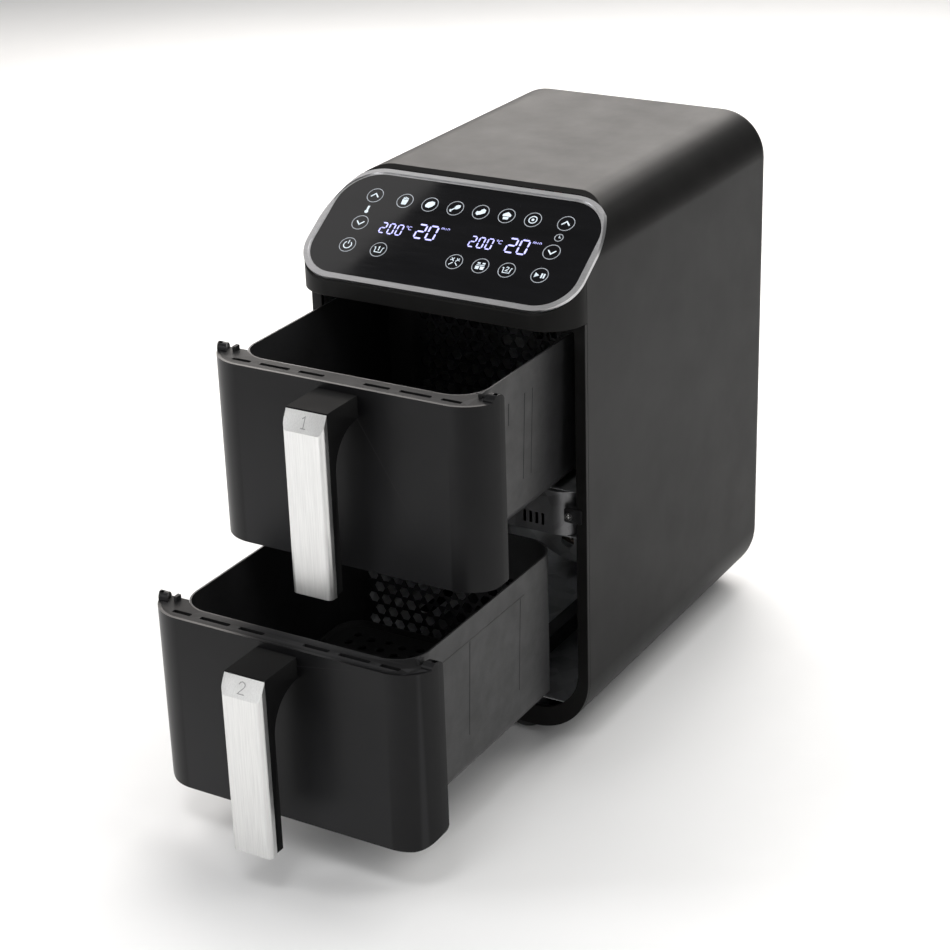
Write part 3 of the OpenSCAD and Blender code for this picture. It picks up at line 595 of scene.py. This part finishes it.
# Both baskets ready at one time
x = LOW_ROW[2]
marks.strip([(x - 3.2, 31.6), (x + 3.2, 31.6)], 0.6)
for left in (x - 3.3, x + 0.6):
    marks.plate([(left, 27.9), (left + 2.7, 27.9), (left + 3.0, 30.6), (left - 0.3, 30.6)])
    marks.plate([(left + 0.2, 32.7), (left + 2.5, 32.7), (left + 2.5, 33.9), (left + 0.2, 33.9)])
marks.make("key_symbols", "marks", "housing", "control_glass")


# ---------- drawer details ----------

# The slope at the top of a grip: its run and rise, and how far its crease lies below the top.
GRIP_SLOPE = (0, 8, 15)
CREASE_DROP = 13.2
NUMERAL_UP = 7.4


def numeral(side, strokes):
    """A thin numeral on the sloping top of a grip, in strokes around its own middle."""
    lo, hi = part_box(side + "_handle_cover")
    up = Vector(GRIP_SLOPE).normalized()
    out = Vector((1, 0, 0)).cross(up)
    crease = Vector((0, lo.y, hi.z - CREASE_DROP * MM))
    sheet = Sheet(crease - out * 0.03 * MM, (1, 0, 0), up, 0.16)
    for stroke in strokes:
        sheet.strip([(x, s + NUMERAL_UP) for x, s in stroke], 0.75)
    sheet.make(side + "_numeral", "etched", side + "_drawer", "satin_silver")


numeral("upper", [[(-1.6, 2.4), (0.3, 4.0), (0.3, -4.0)], [(-1.6, -4.0), (2.2, -4.0)]])
numeral("lower", [[(-2.6, 2.2), (-1.9, 3.6), (-0.3, 4.2), (1.5, 3.6), (2.2, 2.2), (1.6, 0.6), (-2.6, -4.0),
                   (2.6, -4.0)]])


# A basket's side stands this far from its middle at the floor's bend, and this much further at the rim.
BASKET_HALF = 91
BASKET_FLARE = 4
BASKET_BEND = 9
# Cross-section of a pressed rib: shares of its width, and how far it stands off the side.
RIB_SECTION = ((-0.5, -0.3), (-0.22, 0.28), (0.22, 0.28), (0.5, -0.3))


def pressed(side, lines):
    """Pressed ribs on both sides of a basket; each line is points (y, z) from its front lower corner."""
    lo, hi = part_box(side + "_basket")
    height = (hi.z - lo.z) / MM
    for sign, end in ((-1, "left"), (1, "right")):
        bm = bmesh.new()
        for points, width in lines:
            rows = []
            for i, (y, z) in enumerate(points):
                a = Vector(points[max(i - 1, 0)])
                b = Vector(points[min(i + 1, len(points) - 1)])
                way = (b - a).normalized()
                row = []
                for across, lift in RIB_SECTION:
                    py, pz = y - way.y * across * width, z + way.x * across * width
                    risen = min(1, max(0, (pz - BASKET_BEND) / (height - BASKET_BEND)))
                    skin = BASKET_HALF + BASKET_FLARE * risen
                    row.append(bm.verts.new((sign * (skin + lift) * MM, lo.y + py * MM, lo.z + pz * MM)))
                rows.append(row)
            for r0, r1 in zip(rows, rows[1:]):
                for k in range(4):
                    bm.faces.new((r0[k], r0[(k + 1) % 4], r1[(k + 1) % 4], r1[k]))
            bm.faces.new(rows[0])
            bm.faces.new(rows[-1])
        obj = new_piece(f"{side}_rib_{end}", bm, "basket")
        obj.modifiers.new("smooth", "NODES").node_group = SMOOTH
        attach(obj, side + "_drawer")


pressed("upper", [([(70, 28), (70, 92)], 1.4), ([(81, 28), (81, 92)], 1.4), ([(48, 76), (48, 92)], 1.4)])
pressed("lower", [([(32, 104), (150, 104)], 1.2), ([(145, 30), (145, 104)], 1.2),
                  ([(75, 30), (75, 104)], 1.2)])


# ---------- floor, lights and camera ----------

# Half the floor's side in metres.
FLOOR_HALF = 9.0


def floor():
    """A plain pale floor with a faint paper tone."""
    g = Graph("floor_paper")
    tone = g.mix(g.span(g.noise(3.0), 0, 1), (0.86, 0.86, 0.86), (0.89, 0.89, 0.89))
    g.join(tone, g.shader, "Base Color")
    g.join(g.span(g.noise(40.0), 0.6, 0.75), g.shader, "Roughness")
    mesh = bpy.data.meshes.new("floor")
    corners = [(x * FLOOR_HALF, y * FLOOR_HALF, 0) for x, y in ((-1, -1), (1, -1), (1, 1), (-1, 1))]
    mesh.from_pydata(corners, [], [(0, 1, 2, 3)])
    obj = bpy.data.objects.new("floor", mesh)
    obj.data.materials.append(g.mat)
    bpy.context.scene.collection.objects.link(obj)


def area(name, place, target, size, power, colour=(1, 1, 1)):
    """A soft light of that size in metres and power in watts, aimed at target."""
    light = bpy.data.lights.new(name, "AREA")
    light.shape = "RECTANGLE"
    light.size, light.size_y = size
    light.energy = power
    light.color = colour
    obj = bpy.data.objects.new(name, light)
    obj.location = place
    obj.rotation_euler = (Vector(target) - Vector(place)).to_track_quat("-Z", "Y").to_euler()
    bpy.context.scene.collection.objects.link(obj)
    return obj


floor()
centre = (cad_lo + cad_hi) / 2
area("overhead", (0.4, 1.3, 2.6), (0.1, 0.3, 0), (3.6, 2.4), 82, (1, 0.99, 0.97))
area("behind", (-1.0, 1.75, 1.25), (0, 0, 0.4), (2.0, 0.9), 30, (1, 0.95, 0.91))
area("left", (-1.6, -1.2, 1.0), centre, (0.5, 1.4), 16)
area("right", (1.7, -0.5, 0.8), centre, (0.5, 1.4), 6)
area("front", (-0.35, -2.0, 0.45), centre, (0.5, 0.8), 8)
area("over_baskets", (0.1, -1.0, 1.9), (0, -0.25, 0.2), (0.7, 0.5), 8)
# A level light that shows as a soft patch in the glass, turned square to the patch.
card = area("card", (-1.093, 0.195, 1.6), (-1.093, 0.195, 0), (0.8, 1.4), 3.4, (1, 0.98, 0.97))
card.rotation_euler = (0, 0, math.atan2(0.646, -0.763))

world = bpy.data.worlds.new("studio")
world.use_nodes = True
surround = world.node_tree.nodes["Background"]
surround.inputs["Color"].default_value = (1, 1, 1, 1)
surround.inputs["Strength"].default_value = 0.17
bpy.context.scene.world = world
bpy.context.scene.view_settings.view_transform = "Standard"

# The camera's turn to the right, height and tilt in radians, and its place in metres.
AZ, EL, ROLL = 0.539696, 0.419897, -0.031108
CAMERA_PLACE = (0.79357, -1.43853, 0.87394)
look = Vector((-math.sin(AZ) * math.cos(EL), math.cos(AZ) * math.cos(EL), -math.sin(EL)))
right = Vector((math.cos(AZ), math.sin(AZ), 0))
above = right.cross(look)
cam_x = right * math.cos(ROLL) + above * math.sin(ROLL)
cam_y = above * math.cos(ROLL) - right * math.sin(ROLL)
camera = bpy.data.cameras.new("camera")
camera.lens, camera.sensor_width = 85.78, 36.0
camera.clip_start, camera.clip_end = 0.05, 50
cam = bpy.data.objects.new("camera", camera)
cam.matrix_world = Matrix((cam_x, cam_y, -look)).transposed().to_4x4()
cam.location = CAMERA_PLACE
bpy.context.scene.collection.objects.link(cam)
bpy.context.scene.camera = cam
